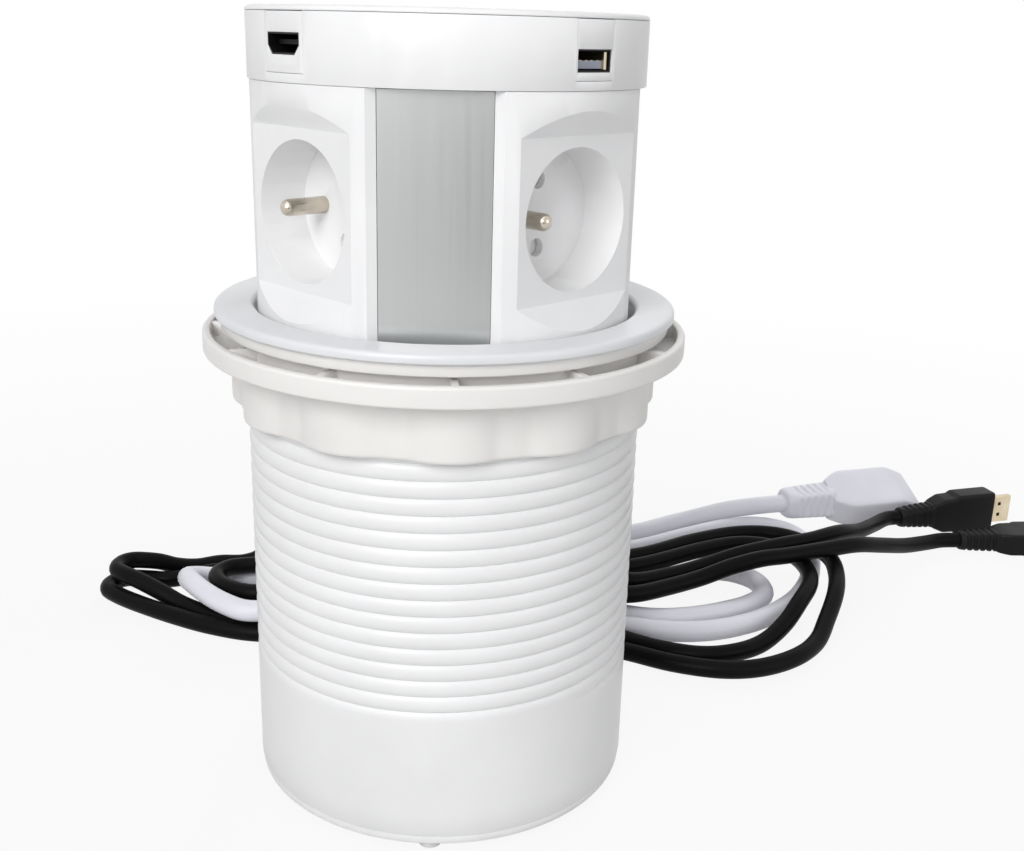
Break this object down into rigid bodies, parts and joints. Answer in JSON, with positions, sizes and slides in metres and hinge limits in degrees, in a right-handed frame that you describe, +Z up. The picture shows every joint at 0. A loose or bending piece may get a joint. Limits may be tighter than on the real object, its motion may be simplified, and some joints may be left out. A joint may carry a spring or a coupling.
{
  "type": "pop up desk socket",
  "caption": "Round pop-up desk socket: a sprung tower with earthed outlets, HDMI and USB ports rises from a threaded tube with a flange and a lock nut; its leads loop behind.",
  "frame": {"origin": "on the tube's axis, on the surface that the feet stand on", "axes": "+Z up along the tube, the way the tower rises; the front trim strip faces -Y"},
  "size_m": [0.4558, 0.3108, 0.24],
  "materials": {
    "white_plastic": "moulded, satin",
    "washer": "moulded, matte",
    "foot_rubber": "matte",
    "aluminium": "brushed and anodised",
    "steel": "plain",
    "nickel": "nickel plated, polished",
    "brass": "plain",
    "carrier": "moulded, matte",
    "black_plastic": "moulded, satin",
    "black_cord": "satin jacket",
    "dark_shell": "black plated",
    "bright_shell": "tin plated",
    "usb_tongue": "moulded",
    "board": "solder mask",
    "inner_cable": "jacket",
    "white_cord": "satin jacket",
    "gold_nose": "pale gold plated"
  },
  "bodies": {
    "housing": {"outer_tube": "white_plastic", "flange_ring": "white_plastic", "bottom_cap": "white_plastic", "bottom_screws": "steel", "feet": "foot_rubber", "mains_gland": "white_plastic", "hdmi_glands": "black_plastic", "latch_body": "black_plastic", "lift_spring": "steel", "inner_leads": "inner_cable", "mains_lead": "white_cord", "mains_plug": "white_cord", "mains_blades": "brass", "hdmi_lead_1": "black_cord", "hdmi_lead_2": "black_cord", "hdmi_plug_1": "black_plastic", "hdmi_plug_2": "black_plastic", "hdmi_plug_shells": "gold_nose"},
    "plunger": {"latch_plunger": "steel"},
    "washer": {"slip_washer": "washer"},
    "nut": {"lock_nut": "white_plastic"},
    "tower": {"tower_base": "white_plastic", "strike_plate": "steel", "tie_rods": "steel", "shutter_springs": "steel", "earth_pins": "nickel", "live_clips": "brass", "neutral_clips": "brass", "live_bus": "brass", "neutral_bus": "brass", "earth_bus": "brass", "port_ring": "white_plastic", "top_lid": "white_plastic", "hdmi_insert_front": "white_plastic", "hdmi_insert_rear": "white_plastic", "usb_insert_front": "white_plastic", "usb_insert_rear": "white_plastic", "hdmi_shells": "dark_shell", "hdmi_tongues": "black_plastic", "usb_shells": "bright_shell", "usb_tongues": "usb_tongue", "port_board": "board", "usb_power_module": "black_plastic", "trim_strip_front": "aluminium", "trim_strip_right": "aluminium", "trim_strip_rear": "aluminium", "trim_strip_left": "aluminium", "socket_panel_front_right": "white_plastic", "socket_panel_rear_right": "white_plastic", "socket_panel_rear_left": "white_plastic", "socket_panel_front_left": "white_plastic", "contact_carrier_front_right": "carrier", "contact_carrier_rear_right": "carrier", "contact_carrier_rear_left": "carrier", "contact_carrier_front_left": "carrier"},
    "shutter_front_right": {"shutter_front_right": "white_plastic"},
    "shutter_rear_right": {"shutter_rear_right": "white_plastic"},
    "shutter_rear_left": {"shutter_rear_left": "white_plastic"},
    "shutter_front_left": {"shutter_front_left": "white_plastic"}
  },
  "joints": [
    {"name": "tower_slide", "type": "slide", "parent": "housing", "child": "tower", "axis": [0, 0, 1], "range_m": [-0.084, 0], "stiffness_N_per_m": 240, "springref_m": 0.0625, "deforming": ["lift_spring", "inner_leads"]},
    {"name": "plunger_slide", "type": "slide", "parent": "housing", "child": "plunger", "axis": [0, 0, 1], "range_m": [-0.004, 0], "stiffness_N_per_m": 300, "springref_m": 0.003},
    {"name": "washer_slide", "type": "slide", "parent": "housing", "child": "washer", "axis": [0, 0, 1], "range_m": [-0.0408, 0]},
    {"name": "nut_turn", "type": "hinge", "parent": "washer", "child": "nut", "pos_m": [0, 0, 0.137], "axis": [0, 0, 1], "range_deg": [-2880, 0]},
    {"name": "shutter_slide_front_right", "type": "slide", "parent": "tower", "child": "shutter_front_right", "axis": [0.7071, 0.7071, 0], "range_m": [0, 0.007], "stiffness_N_per_m": 100, "springref_m": -0.004, "deforming": ["shutter_springs"]},
    {"name": "shutter_slide_rear_right", "type": "slide", "parent": "tower", "child": "shutter_rear_right", "axis": [-0.7071, 0.7071, 0], "range_m": [0, 0.007], "stiffness_N_per_m": 100, "springref_m": -0.004, "deforming": ["shutter_springs"]},
    {"name": "shutter_slide_rear_left", "type": "slide", "parent": "tower", "child": "shutter_rear_left", "axis": [-0.7071, -0.7071, 0], "range_m": [0, 0.007], "stiffness_N_per_m": 100, "springref_m": -0.004, "deforming": ["shutter_springs"]},
    {"name": "shutter_slide_front_left", "type": "slide", "parent": "tower", "child": "shutter_front_left", "axis": [0.7071, -0.7071, 0], "range_m": [0, 0.007], "stiffness_N_per_m": 100, "springref_m": -0.004, "deforming": ["shutter_springs"]}
  ],
  "couplings": [
    {"joint": "washer_slide", "follows": "nut_turn", "m_per_rad": 0.000811}
  ]
}
